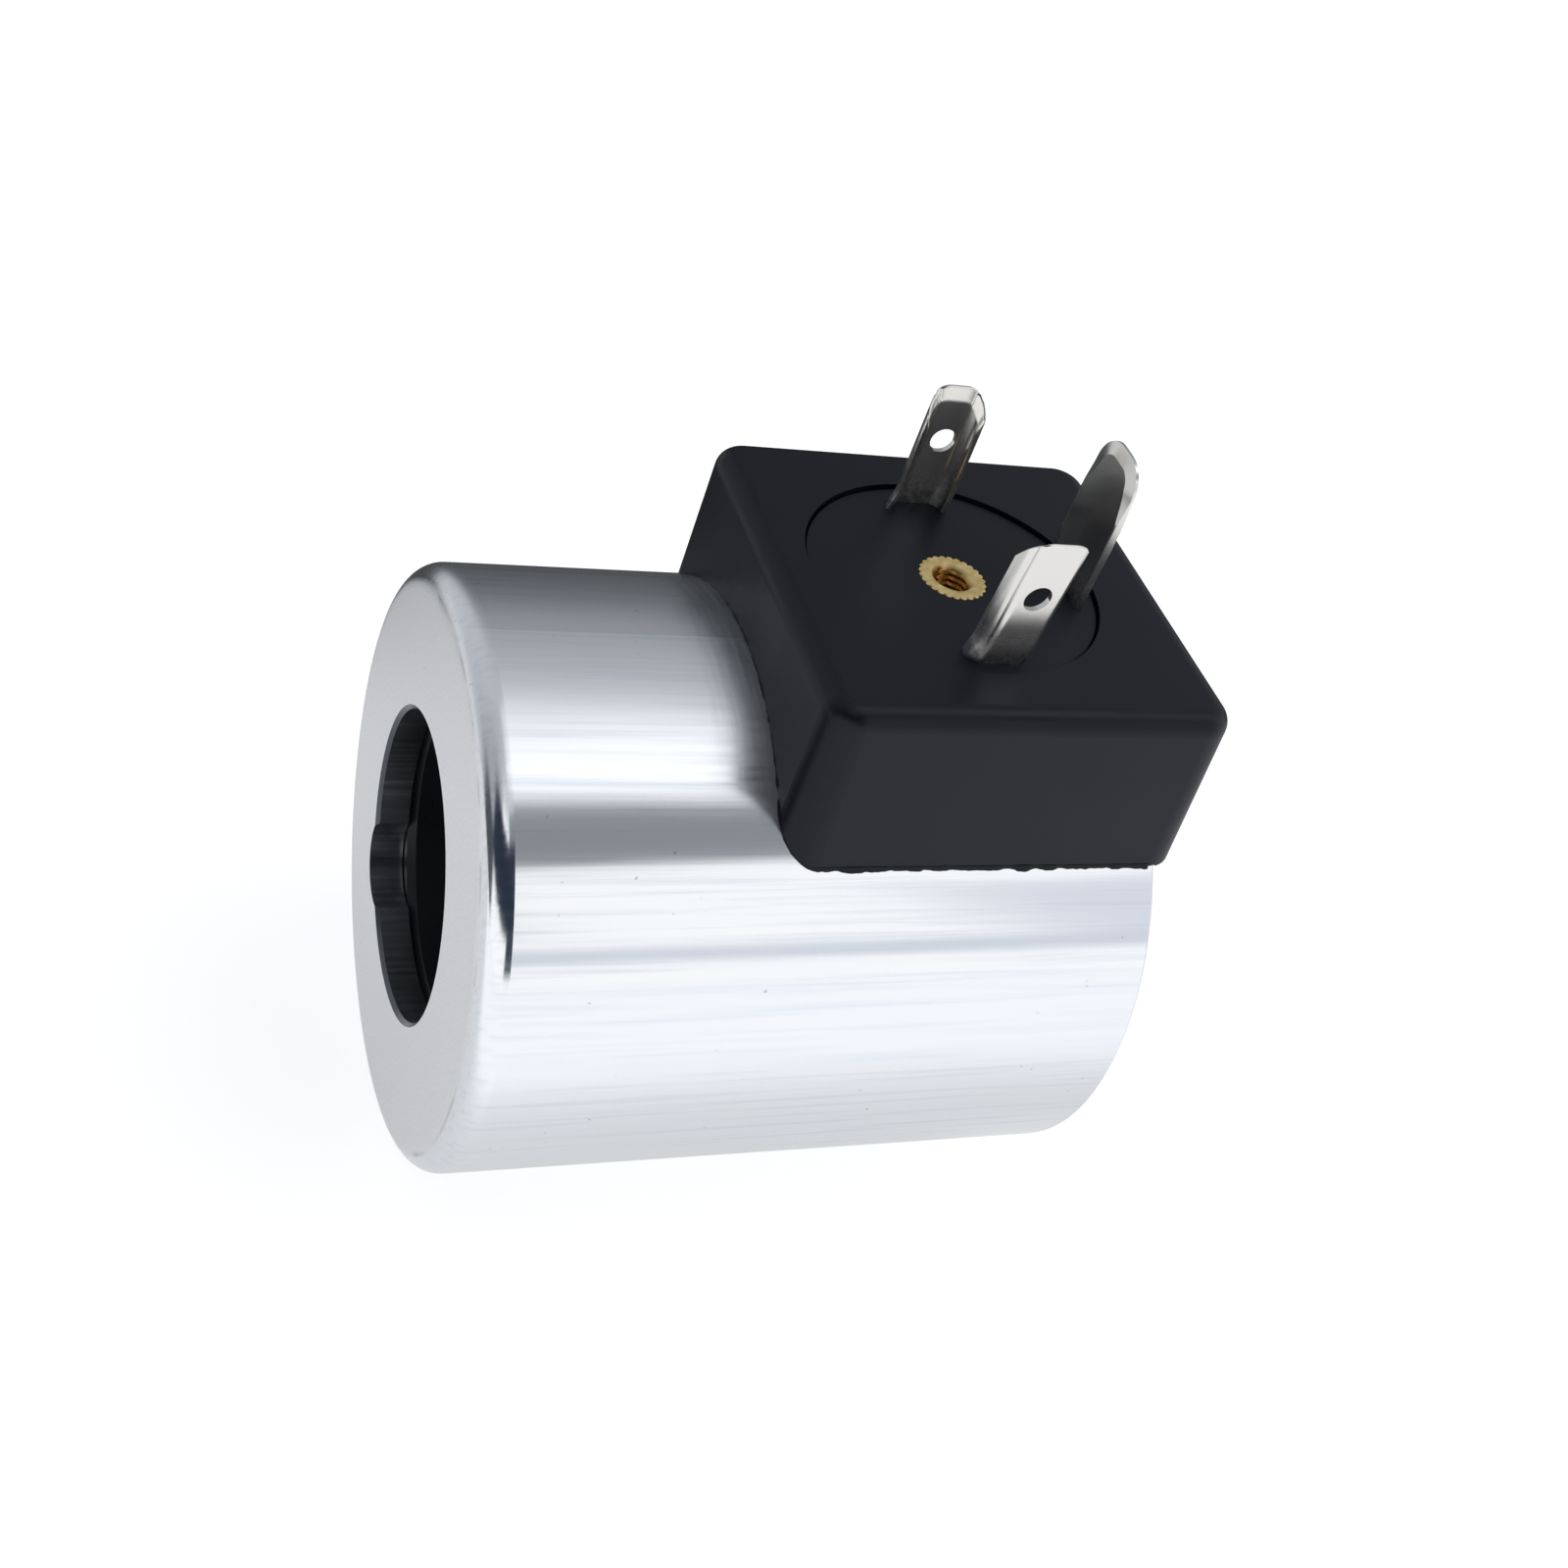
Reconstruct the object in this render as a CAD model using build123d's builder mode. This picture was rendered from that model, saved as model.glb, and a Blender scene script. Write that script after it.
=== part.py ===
from build123d import *
import os
from math import cos, radians, sin, sqrt

# Solenoid valve coil for a wet-pin directional valve.
# A steel can carries the wound bobbin; a moulded block on its side carries two contact
# blades, a ground blade and a threaded insert for the plug's screw.
# Millimetres. +X runs along the bore from the near end face, +Z through the connector block.

# Steel shell: a can with one end wall, open at the far end
shell_diameter = 45.0
shell_length = 50.5
shell_wall = 2.5
end_wall = 2.6
near_edge_radius = 2.0
far_edge_chamfer = 0.3
slot_width = 17.0
slot_reach = 10.9
slot_corner_radius = 1.5

# Bore that slides over the valve's core tube, with a notch for its key
bore_diameter = 23.2
bore_edge_chamfer = 0.3
key_notch_radius = 3.5
key_notch_depth = 1.9
key_notch_angle = 135

# Rear end plate, pressed into the open end of the shell
plate_thickness = 3.5
plate_chamfer = 0.4
press_gap = 0.02

# Bobbin and winding
bobbin_bore_gap = 0.1
bobbin_lead_in = 0.6
bobbin_wall = 1.2
flange_thickness = 1.6
flange_margin = 0.8
axial_play = 0.1
winding_margin = 1.2
tape_thickness = 0.3
nesting_gap = 0.05

# Connector block
block_overhang = 1.7
block_length = 31.3
block_width = 32.0
block_rise = 6.55
block_edge_drop = 0.5
block_draft = 1.7
block_corner_radius = 2.4
block_edge_radius = 1.5

# Terminal base: the round moulding that holds the blades and the insert
base_diameter = 22.2
base_thickness = 4.6
base_step = 0.3
base_edge_radius = 0.15
seam_gap = 0.12
pattern_inset = 17.0
spigot_length = 13.0
spigot_width = 10.0

# Threaded insert
insert_diameter = 5.2
insert_length = 5.5
thread_core_diameter = 2.5
insert_countersink = 0.35
screw_relief_depth = 1.5
screw_relief_diameter = 3.2

# Contact blades, folded from strip to a shallow channel
contact_offset = 9.0
contact_width = 5.0
contact_depth = 1.5
contact_flat = 3.2
contact_bulge = 0.3
strip_thickness = 0.45
contact_height = 10.3
contact_tip_radius = 1.8
contact_hole_diameter = 2.0
contact_hole_height = 5.7
coined_length = 1.0
coined_edge = 0.15
flange_slope_length = 2.1
tail_length = 2.0

# Ground blade
ground_offset = 9.2
ground_width = 6.0
ground_thickness = 0.7
ground_height = 11.9
ground_tip_radius = 1.6
ground_bevel_length = 0.9
ground_bevel_depth = 0.25

# Ground strap from the ground blade to the rear end plate
strap_width = 4.0
strap_thickness = 0.6

# Leads from the winding to the contact blades
wire_diameter = 0.8
lead_offset = 6.8
lead_bend_radius = 0.8
sleeve_diameter = 1.6
sleeve_gap = 0.05
sleeve_top_gap = 0.3
solder_width = 2.4
solder_height = 1.4
solder_edge_radius = 0.3

# Radii and stations that follow from the sizes above
shell_radius = shell_diameter / 2
shell_inner_radius = shell_radius - shell_wall
bore_radius = bore_diameter / 2
plate_radius = shell_inner_radius - press_gap
plate_start = shell_length - plate_thickness
bobbin_start = end_wall + axial_play
bobbin_end = plate_start - axial_play
bobbin_bore_radius = bore_radius + bobbin_bore_gap
hub_radius = bobbin_bore_radius + bobbin_wall
flange_radius = shell_inner_radius - flange_margin
winding_start = bobbin_start + flange_thickness
winding_end = bobbin_end - flange_thickness
winding_radius = flange_radius - winding_margin
tape_inner_radius = winding_radius + nesting_gap
tape_outer_radius = tape_inner_radius + tape_thickness
fill_outer_radius = shell_inner_radius - nesting_gap
fill_inner_radius = tape_outer_radius + nesting_gap
fill_flange_radius = flange_radius + nesting_gap

block_end = shell_length + block_overhang
block_centre_x = block_end - block_length / 2
block_top = shell_radius + block_rise
block_floor = sqrt(shell_radius**2 - (block_width / 2) ** 2) - block_edge_drop
pattern_x = block_end - pattern_inset
slot_start = pattern_x - slot_reach
base_radius = base_diameter / 2
contact_back = contact_depth / 2
contact_tip = contact_height + tail_length + base_thickness
base_top = block_top - base_step
base_floor = base_top - base_thickness
tail_floor = base_floor - tail_length
insert_top = base_top + nesting_gap
ground_x = pattern_x + ground_offset
wire_radius = wire_diameter / 2
sleeve_radius = sleeve_diameter / 2
lead_height = base_floor - tail_length / 2


def height_on(radius, across):
    """Height of a cylinder of this radius about the bore, at a distance to the side."""
    return sqrt(radius**2 - across**2)


def ring_section(start, end, inner, outer):
    """Rectangle in the X-Z plane that turns into a ring about the bore."""
    with Locations((start, inner)):
        Rectangle(end - start, outer - inner, align=(Align.MIN, Align.MIN))


# Steel shell: turned can, then the slot for the connector and the key notch
with BuildPart() as steel_shell:
    with BuildSketch(Plane.XZ) as can_section:
        ring_section(0, shell_length, bore_radius, shell_radius)
        with Locations((end_wall, bore_radius)):
            Rectangle(
                shell_length - end_wall,
                shell_inner_radius - bore_radius,
                align=(Align.MIN, Align.MIN),
                mode=Mode.SUBTRACT,
            )
        near_rim = can_section.vertices().sort_by_distance((0, shell_radius))[0]
        fillet(near_rim, near_edge_radius)
        far_rim = can_section.vertices().sort_by_distance((shell_length, shell_radius))[0]
        bore_mouth = can_section.vertices().sort_by_distance((0, bore_radius))[0]
        chamfer(far_rim, far_edge_chamfer)
        chamfer(bore_mouth, bore_edge_chamfer)
    revolve(axis=Axis.X)
    with BuildSketch() as slot_outline:
        with Locations((slot_start, 0)):
            Rectangle(shell_length, slot_width, align=(Align.MIN, Align.CENTER))
        fillet(slot_outline.vertices().group_by(Axis.X)[0], slot_corner_radius)
    extrude(amount=shell_radius, mode=Mode.SUBTRACT)
    notch_centre_radius = bore_radius + key_notch_depth - key_notch_radius
    with BuildSketch(Plane.YZ):
        with Locations(
            (
                notch_centre_radius * sin(radians(key_notch_angle)),
                notch_centre_radius * cos(radians(key_notch_angle)),
            )
        ):
            Circle(key_notch_radius)
    extrude(amount=end_wall, mode=Mode.SUBTRACT)

# Rear end plate
with BuildPart() as rear_end_plate:
    with BuildSketch(Plane.XZ) as plate_section:
        ring_section(plate_start, shell_length, bore_radius, plate_radius)
        chamfer(plate_section.vertices().group_by(Axis.X)[-1], plate_chamfer)
    revolve(axis=Axis.X)

# Bobbin: hub with a flange at each end and a lead-in at each mouth
with BuildPart() as bobbin:
    with BuildSketch(Plane.XZ) as bobbin_section:
        ring_section(bobbin_start, bobbin_end, bobbin_bore_radius, hub_radius)
        ring_section(bobbin_start, winding_start, bobbin_bore_radius, flange_radius)
        ring_section(winding_end, bobbin_end, bobbin_bore_radius, flange_radius)
        chamfer(bobbin_section.vertices().group_by(Axis.Y)[0], bobbin_lead_in)
    revolve(axis=Axis.X)

# Copper winding
with BuildPart() as copper_winding:
    with BuildSketch(Plane.XZ):
        ring_section(
            winding_start + nesting_gap,
            winding_end - nesting_gap,
            hub_radius + nesting_gap,
            winding_radius,
        )
    revolve(axis=Axis.X)

# Winding tape, with a hole for each lead
with BuildPart() as winding_tape:
    with BuildSketch(Plane.XZ):
        ring_section(
            winding_start + nesting_gap,
            winding_end - nesting_gap,
            tape_inner_radius,
            tape_outer_radius,
        )
    revolve(axis=Axis.X)
    with BuildSketch():
        with Locations((pattern_x, lead_offset), (pattern_x, -lead_offset)):
            Circle(wire_radius + sleeve_gap)
    extrude(amount=shell_radius, mode=Mode.SUBTRACT)

# Winding encapsulation: fills the room between winding and shell
with BuildPart() as winding_encapsulation:
    with BuildSketch(Plane.XZ):
        ring_section(bobbin_start, bobbin_end, fill_flange_radius, fill_outer_radius)
        ring_section(
            winding_start + nesting_gap,
            winding_end - nesting_gap,
            fill_inner_radius,
            fill_outer_radius,
        )
    revolve(axis=Axis.X)
    with BuildSketch():
        with Locations((pattern_x, lead_offset), (pattern_x, -lead_offset)):
            Circle(sleeve_radius + sleeve_gap)
    extrude(amount=shell_radius, mode=Mode.SUBTRACT)


def channel_outline(flat, mouth, back, mode):
    """Closed outline of the folded strip from above: flat back, bowed sides, open mouth."""
    with BuildLine() as outline:
        Line((-flat / 2, back), (flat / 2, back))
        SagittaArc((flat / 2, back), (mouth / 2, -contact_back), contact_bulge)
        Line((mouth / 2, -contact_back), (-mouth / 2, -contact_back))
        SagittaArc((-mouth / 2, -contact_back), (-flat / 2, back), contact_bulge)
    make_face(outline.edges(), mode=mode)


# Contact blades: the same folded strip twice, turned half round, backs outwards
contact_blades = {}
for name, side in (("far_contact_blade", 1), ("near_contact_blade", -1)):
    foot = Plane(
        origin=(pattern_x, side * contact_offset, tail_floor),
        x_dir=(side, 0, 0),
        z_dir=(0, 0, 1),
    )
    front = Plane(origin=foot.origin, x_dir=foot.x_dir, z_dir=-foot.y_dir)
    edge = Plane(origin=foot.origin, x_dir=foot.y_dir, z_dir=foot.x_dir)
    with BuildPart() as contact_blade:
        with BuildSketch(foot):
            channel_outline(contact_flat, contact_width, contact_back, Mode.ADD)
            channel_outline(
                contact_flat - strip_thickness,
                contact_width - 2 * strip_thickness,
                contact_back - strip_thickness,
                Mode.SUBTRACT,
            )
        extrude(amount=contact_tip)
        with BuildSketch(front) as blade_outline:
            Rectangle(contact_width, contact_tip, align=(Align.CENTER, Align.MIN))
            fillet(blade_outline.vertices().group_by(Axis.Y)[-1], contact_tip_radius)
        extrude(amount=contact_depth, both=True, mode=Mode.INTERSECT)
        with BuildSketch(edge):
            with BuildLine():
                Polyline(
                    (-contact_depth, contact_tip),
                    (-contact_back, contact_tip - flange_slope_length),
                    (contact_back - strip_thickness, contact_tip - coined_length),
                    (contact_back - coined_edge, contact_tip),
                    close=True,
                )
            make_face()
        extrude(amount=contact_width, both=True, mode=Mode.SUBTRACT)
        with BuildSketch(front):
            with Locations((0, tail_length + base_thickness + contact_hole_height)):
                Circle(contact_hole_diameter / 2)
        extrude(amount=contact_depth, both=True, mode=Mode.SUBTRACT)
    contact_blade.part.label = name
    contact_blades[name] = contact_blade.part

# Ground blade: flat, wider and longer, bevelled round its tip
with BuildPart() as ground_blade:
    blade_side = Plane(origin=(ground_x, 0, tail_floor), x_dir=(0, 1, 0), z_dir=(1, 0, 0))
    ground_tip = ground_height + tail_length + base_thickness
    with BuildSketch(blade_side) as ground_outline:
        Rectangle(ground_width, ground_tip, align=(Align.CENTER, Align.MIN))
        fillet(ground_outline.vertices().group_by(Axis.Y)[-1], ground_tip_radius)
    extrude(amount=ground_thickness / 2, both=True)
    bevel_start = tail_floor + ground_tip - ground_tip_radius
    flat_sides = ground_blade.faces().group_by(Axis.X)
    for flat_side in (flat_sides[0][0], flat_sides[-1][0]):
        tip_edges = flat_side.edges().filter_by(lambda edge: edge.center().Z > bevel_start)
        chamfer(tip_edges, ground_bevel_length, ground_bevel_depth, reference=flat_side)

# Leads: from the winding up beside the spigot and out into the channel of each blade
leads = {}
lead_foot = height_on(winding_radius, lead_offset - wire_radius)
lead_end = contact_offset + contact_back - strip_thickness
for name, side in (("start_lead", 1), ("finish_lead", -1)):
    with BuildPart() as lead:
        with BuildLine() as lead_path:
            FilletPolyline(
                (pattern_x, side * lead_offset, lead_foot),
                (pattern_x, side * lead_offset, lead_height),
                (pattern_x, side * lead_end, lead_height),
                radius=lead_bend_radius,
            )
        with BuildSketch(Plane.XY.offset(lead_foot)):
            with Locations((pattern_x, side * lead_offset)):
                Circle(wire_radius)
        sweep(path=lead_path.line)
    lead.part.label = name
    leads[name] = lead.part

# Lead sleeves: insulating tubes that stand on the tape
sleeves = {}
sleeve_floor = height_on(tape_outer_radius, lead_offset - sleeve_radius)
sleeve_top = lead_height - lead_bend_radius - sleeve_top_gap
for name, side in (("start_lead_sleeve", 1), ("finish_lead_sleeve", -1)):
    with BuildPart() as sleeve:
        with BuildSketch(Plane.XY.offset(sleeve_floor)):
            with Locations((pattern_x, side * lead_offset)):
                Circle(sleeve_radius)
                Circle(wire_radius + sleeve_gap, mode=Mode.SUBTRACT)
        extrude(amount=sleeve_top - sleeve_floor)
    sleeve.part.label = name
    sleeves[name] = sleeve.part

# Solder joints: fill the channel of each blade round the end of its lead
solder_joints = {}
solder_depth = contact_depth - strip_thickness
for name, side, lead_name in (
    ("start_solder_joint", 1, "start_lead"),
    ("finish_solder_joint", -1, "finish_lead"),
):
    with BuildPart() as solder_joint:
        with BuildSketch(Plane.XY.offset(lead_height - solder_height / 2)):
            with Locations((pattern_x, side * (lead_end - solder_depth / 2))):
                Rectangle(solder_width, solder_depth)
        extrude(amount=solder_height)
        fillet(solder_joint.edges().filter_by(Axis.Y), solder_edge_radius)
        add(leads[lead_name], mode=Mode.SUBTRACT)
    solder_joint.part.label = name
    solder_joints[name] = solder_joint.part

# Ground strap: bent strip from the ground blade's tail down to the rim of the rear end plate
with BuildPart() as ground_strap:
    strap_bottom = plate_radius
    strap_reach = (plate_start + shell_length) / 2
    strap_start = ground_x + ground_thickness / 2
    strap_level = tail_floor + strap_thickness
    with BuildSketch(Plane.XZ):
        with BuildLine():
            Polyline(
                (strap_start, base_floor),
                (strap_start, tail_floor),
                (strap_reach, tail_floor),
                (strap_reach, strap_bottom),
                (strap_reach + strap_thickness, strap_bottom),
                (strap_reach + strap_thickness, strap_level),
                (strap_start + strap_thickness, strap_level),
                (strap_start + strap_thickness, base_floor),
                close=True,
            )
        make_face()
    extrude(amount=strap_width / 2, both=True)

# Threaded insert: plain here outside and in the hole, at the knurl's and the thread's sizes
with BuildPart() as threaded_insert:
    with BuildSketch(Plane.XY.offset(insert_top)):
        with Locations((pattern_x, 0)):
            Circle(insert_diameter / 2)
            Circle(thread_core_diameter / 2, mode=Mode.SUBTRACT)
    extrude(amount=-insert_length)
    thread_mouth = threaded_insert.edges().group_by(Axis.Z)[-1].sort_by(SortBy.RADIUS)[0]
    chamfer(thread_mouth, insert_countersink)

# Terminal base: disc, spigot down to the encapsulation, pockets for what it holds
with BuildPart() as terminal_base:
    with BuildSketch(Plane.XY.offset(base_floor)):
        with Locations((pattern_x, 0)):
            Circle(base_radius)
    extrude(amount=base_thickness)
    fillet(terminal_base.edges().group_by(Axis.Z)[-1], base_edge_radius)
    with BuildSketch(Plane.XY.offset(base_floor)):
        with Locations((pattern_x, 0)):
            Rectangle(spigot_length, spigot_width)
    extrude(amount=-(base_floor - height_on(shell_inner_radius, spigot_width / 2)))
    with BuildSketch(Plane.YZ.offset(bobbin_start)):
        Circle(shell_inner_radius)
    extrude(amount=shell_length, mode=Mode.SUBTRACT)
    with BuildSketch(Plane.XY.offset(base_top)):
        with Locations((pattern_x, 0)):
            Circle(insert_diameter / 2)
    extrude(amount=-(insert_length - (insert_top - base_top)), mode=Mode.SUBTRACT)
    with BuildSketch(Plane.XY.offset(insert_top - insert_length)):
        with Locations((pattern_x, 0)):
            Circle(screw_relief_diameter / 2)
    extrude(amount=-screw_relief_depth, mode=Mode.SUBTRACT)
    add(list(contact_blades.values()), mode=Mode.SUBTRACT)
    add(ground_blade.part, mode=Mode.SUBTRACT)

# Connector block: tapered body saddled on the shell, with a neck that fills the slot
with BuildPart() as connector_block:
    with BuildSketch(Plane.XY.offset(block_top)):
        with Locations((block_centre_x, 0)):
            RectangleRounded(block_length, block_width, block_corner_radius)
    extrude(amount=block_floor - block_top, taper=-block_draft)
    fillet(connector_block.edges().group_by(Axis.Z)[-1], block_edge_radius)
    with BuildSketch(Plane.YZ):
        Circle(shell_radius)
    extrude(amount=shell_length, mode=Mode.SUBTRACT)
    with BuildSketch(Plane.XY.offset(block_floor)) as neck_outline:
        with Locations((slot_start + nesting_gap, 0)):
            Rectangle(
                shell_length - slot_start - nesting_gap,
                slot_width - 2 * nesting_gap,
                align=(Align.MIN, Align.CENTER),
            )
        fillet(neck_outline.vertices().group_by(Axis.X)[0], slot_corner_radius)
    extrude(amount=shell_radius - block_floor)
    with BuildSketch(Plane.YZ):
        Circle(shell_inner_radius)
    extrude(amount=shell_length, mode=Mode.SUBTRACT)
    # Pocket for the terminal base, with the seam round it
    with BuildSketch(Plane.XY.offset(base_floor)):
        with Locations((pattern_x, 0)):
            Circle(base_radius + seam_gap)
    extrude(amount=block_top - base_floor, mode=Mode.SUBTRACT)
    with BuildSketch(Plane.XY.offset(block_floor)):
        with Locations((pattern_x, 0)):
            Rectangle(spigot_length, spigot_width)
    extrude(amount=base_floor - block_floor, mode=Mode.SUBTRACT)
    # The moulding closes tightly round what was laid in the tool
    add(list(contact_blades.values()), mode=Mode.SUBTRACT)
    add(list(leads.values()), mode=Mode.SUBTRACT)
    add(list(sleeves.values()), mode=Mode.SUBTRACT)
    add(list(solder_joints.values()), mode=Mode.SUBTRACT)
    add(ground_blade.part, mode=Mode.SUBTRACT)
    add(ground_strap.part, mode=Mode.SUBTRACT)

steel_shell.part.label = "steel_shell"
rear_end_plate.part.label = "rear_end_plate"
bobbin.part.label = "bobbin"
copper_winding.part.label = "copper_winding"
winding_tape.part.label = "winding_tape"
winding_encapsulation.part.label = "winding_encapsulation"
ground_blade.part.label = "ground_blade"
ground_strap.part.label = "ground_strap"
threaded_insert.part.label = "threaded_insert"
terminal_base.part.label = "terminal_base"
connector_block.part.label = "connector_block"

pieces = [
    steel_shell.part,
    rear_end_plate.part,
    bobbin.part,
    copper_winding.part,
    winding_tape.part,
    winding_encapsulation.part,
    ground_blade.part,
    ground_strap.part,
    threaded_insert.part,
    terminal_base.part,
    connector_block.part,
    *contact_blades.values(),
    *leads.values(),
    *sleeves.values(),
    *solder_joints.values(),
]

os.makedirs("parts", exist_ok=True)
for piece in pieces:
    export_step(piece, f"parts/{piece.label}.step")
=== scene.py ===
import math

import bmesh
import bpy
from mathutils import Euler, Matrix, Vector, noise


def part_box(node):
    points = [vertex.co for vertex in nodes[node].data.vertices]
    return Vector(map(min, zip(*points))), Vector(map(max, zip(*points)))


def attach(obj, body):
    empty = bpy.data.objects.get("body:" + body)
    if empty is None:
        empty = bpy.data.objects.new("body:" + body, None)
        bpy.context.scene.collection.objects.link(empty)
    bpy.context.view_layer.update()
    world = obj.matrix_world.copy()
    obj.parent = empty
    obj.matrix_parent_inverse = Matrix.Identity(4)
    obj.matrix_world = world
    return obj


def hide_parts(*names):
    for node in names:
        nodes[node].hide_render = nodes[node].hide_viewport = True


# Solenoid valve coil: a zinc-plated steel can with a moulded connector block on its side.
# Metres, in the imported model's frame: +X along the bore, +Z through the connector block.

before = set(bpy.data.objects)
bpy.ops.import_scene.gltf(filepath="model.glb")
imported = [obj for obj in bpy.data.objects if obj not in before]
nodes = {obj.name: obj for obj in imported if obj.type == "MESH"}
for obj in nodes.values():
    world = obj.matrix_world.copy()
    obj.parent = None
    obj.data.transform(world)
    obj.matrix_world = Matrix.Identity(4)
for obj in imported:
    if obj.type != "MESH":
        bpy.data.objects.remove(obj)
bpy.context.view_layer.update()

MM = 0.001

# Where things are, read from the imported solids
shell_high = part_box("steel_shell")[1]
block_low, block_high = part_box("connector_block")
base_low, base_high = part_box("terminal_base")
insert_low, insert_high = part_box("threaded_insert")

shell_radius = shell_high.y
shell_end = shell_high.x
block_top = block_high.z
pattern_x = (base_low.x + base_high.x) / 2
base_top = base_high.z


# Node and colour helpers


def srgb(hex_code):
    """Linear RGBA of an sRGB hex colour."""
    parts = [int(hex_code[i : i + 2], 16) / 255 for i in (1, 3, 5)]
    linear = [c / 12.92 if c <= 0.04045 else ((c + 0.055) / 1.055) ** 2.4 for c in parts]
    return (*linear, 1.0)


def add_node(tree, kind, inputs=None, **settings):
    """Adds a node, sets its settings, and sets or links its inputs by name or number."""
    made = tree.nodes.new(kind)
    for name, value in settings.items():
        setattr(made, name, value)
    for key, value in (inputs or {}).items():
        if isinstance(value, bpy.types.NodeSocket):
            tree.links.new(value, made.inputs[key])
        else:
            made.inputs[key].default_value = value
    return made


def new_finish(name):
    """An empty material with a Principled shader, and a way to reach both."""
    material = bpy.data.materials.new(name)
    material.use_nodes = True
    tree = material.node_tree
    shader = tree.nodes["Principled BSDF"]
    return material, tree, shader


def set_ramp(ramp, stops):
    """Puts the stops, each a place and a grey or a colour, on a colour ramp."""
    elements = ramp.color_ramp.elements
    while len(elements) > 1:
        elements.remove(elements[-1])
    for index, (place, value) in enumerate(stops):
        stop = elements[0] if index == 0 else elements.new(place)
        stop.position = place
        stop.color = value if isinstance(value, tuple) else (value, value, value, 1)


# Finishes

beyond_key_notch = 14 * MM
# Length along the can of the painted shade and tool marks beside the block
rub_and_shade_length = 6 * MM
haze_height = 3.5 * MM


def zinc_plated_drawn_steel():
    """Bright zinc plating on steel, drawn to a can and turned at its end.

    The side mirrors softly, broken by draw lines along the can; the end face is satin.
    """
    material, tree, shader = new_finish("zinc_plated_drawn_steel")
    place = add_node(tree, "ShaderNodeTexCoord").outputs["Object"]
    parts = add_node(tree, "ShaderNodeSeparateXYZ", {0: place})
    normal = add_node(tree, "ShaderNodeNewGeometry").outputs["Normal"]
    facing = add_node(tree, "ShaderNodeSeparateXYZ", {0: normal}).outputs["X"]

    # Draw lines: 0.5 mm round the can from one to the next, about 25 mm long
    stretched = add_node(
        tree, "ShaderNodeMapping", {"Vector": place, "Scale": (1000 / 25, 1000 / 0.5, 1000 / 0.5)}
    ).outputs[0]
    draw_lines = add_node(
        tree,
        "ShaderNodeTexNoise",
        {"Vector": stretched, "Scale": 1.0, "Detail": 3.0, "Roughness": 0.6},
    ).outputs["Fac"]
    # Short ripples of the drawn wall: 1.6 mm round the can, 4 mm along it
    rippled = add_node(
        tree, "ShaderNodeMapping", {"Vector": place, "Scale": (1000 / 4, 1000 / 1.6, 1000 / 1.6)}
    ).outputs[0]
    ripples = add_node(
        tree, "ShaderNodeTexNoise", {"Vector": rippled, "Scale": 1.0, "Detail": 1.0}
    ).outputs["Fac"]
    # Grain of the plating, drawn at 0.25 mm so that it shows
    grain = add_node(
        tree, "ShaderNodeTexNoise", {"Vector": place, "Scale": 4000.0, "Detail": 2.0}
    ).outputs["Fac"]

    # 1 on the end faces, 0 on the side and in the bore
    facing_share = add_node(tree, "ShaderNodeMath", {0: facing}, operation="ABSOLUTE").outputs[0]
    on_face = add_node(
        tree,
        "ShaderNodeMapRange",
        {
            "Value": facing_share,
            "From Min": 0.9,
            "From Max": 0.99,
            "To Min": 0.0,
            "To Max": 1.0,
        },
    ).outputs[0]
    on_top = add_node(
        tree,
        "ShaderNodeMapRange",
        {
            "Value": parts.outputs["Z"],
            "From Min": 0.75 * shell_radius,
            "From Max": 0.95 * shell_radius,
            "To Min": 0.0,
            "To Max": 1.0,
        },
        interpolation_type="SMOOTHSTEP",
    ).outputs[0]
    side_roughness = add_node(
        tree,
        "ShaderNodeMapRange",
        {"Value": draw_lines, "From Min": 0.3, "From Max": 0.7, "To Min": 0.1, "To Max": 0.17},
    ).outputs[0]
    # Duller on top, up to a satin, where the block's tool gripped it
    top_roughness = add_node(
        tree,
        "ShaderNodeMapRange",
        {"Value": on_top, "From Min": 0.0, "From Max": 1.0, "To Min": 0.0, "To Max": 0.2},
    ).outputs[0]
    gripped_roughness = add_node(
        tree, "ShaderNodeMath", {0: side_roughness, 1: top_roughness}, operation="ADD"
    ).outputs[0]
    across = add_node(
        tree, "ShaderNodeVectorMath", {0: place, 1: (0.0, 1.0, 1.0)}, operation="MULTIPLY"
    ).outputs[0]
    distance = add_node(
        tree, "ShaderNodeVectorMath", {0: across}, operation="LENGTH"
    ).outputs["Value"]
    outside_bore = add_node(
        tree, "ShaderNodeMath", {0: distance, 1: beyond_key_notch}, operation="GREATER_THAN"
    ).outputs[0]
    wall_roughness = add_node(
        tree, "ShaderNodeMix", {0: outside_bore, 2: 0.27, 3: gripped_roughness}, data_type="FLOAT"
    ).outputs[0]
    roughness = add_node(
        tree, "ShaderNodeMix", {0: on_face, 2: wall_roughness, 3: 0.5}, data_type="FLOAT"
    ).outputs[0]
    tree.links.new(roughness, shader.inputs["Roughness"])

    # Darker up to the block: painted shade on the can beside the block, broken by tool marks, which
    # also give the bump
    closeness = add_node(
        tree,
        "ShaderNodeMapRange",
        {
            "Value": parts.outputs["X"],
            "From Min": block_low.x - rub_and_shade_length,
            "From Max": block_low.x,
            "To Min": 0.0,
            "To Max": 1.0,
        },
        interpolation_type="SMOOTHSTEP",
    ).outputs[0]
    beside_block = add_node(
        tree, "ShaderNodeMath", {0: closeness, 1: on_top}, operation="MULTIPLY"
    ).outputs[0]
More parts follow.
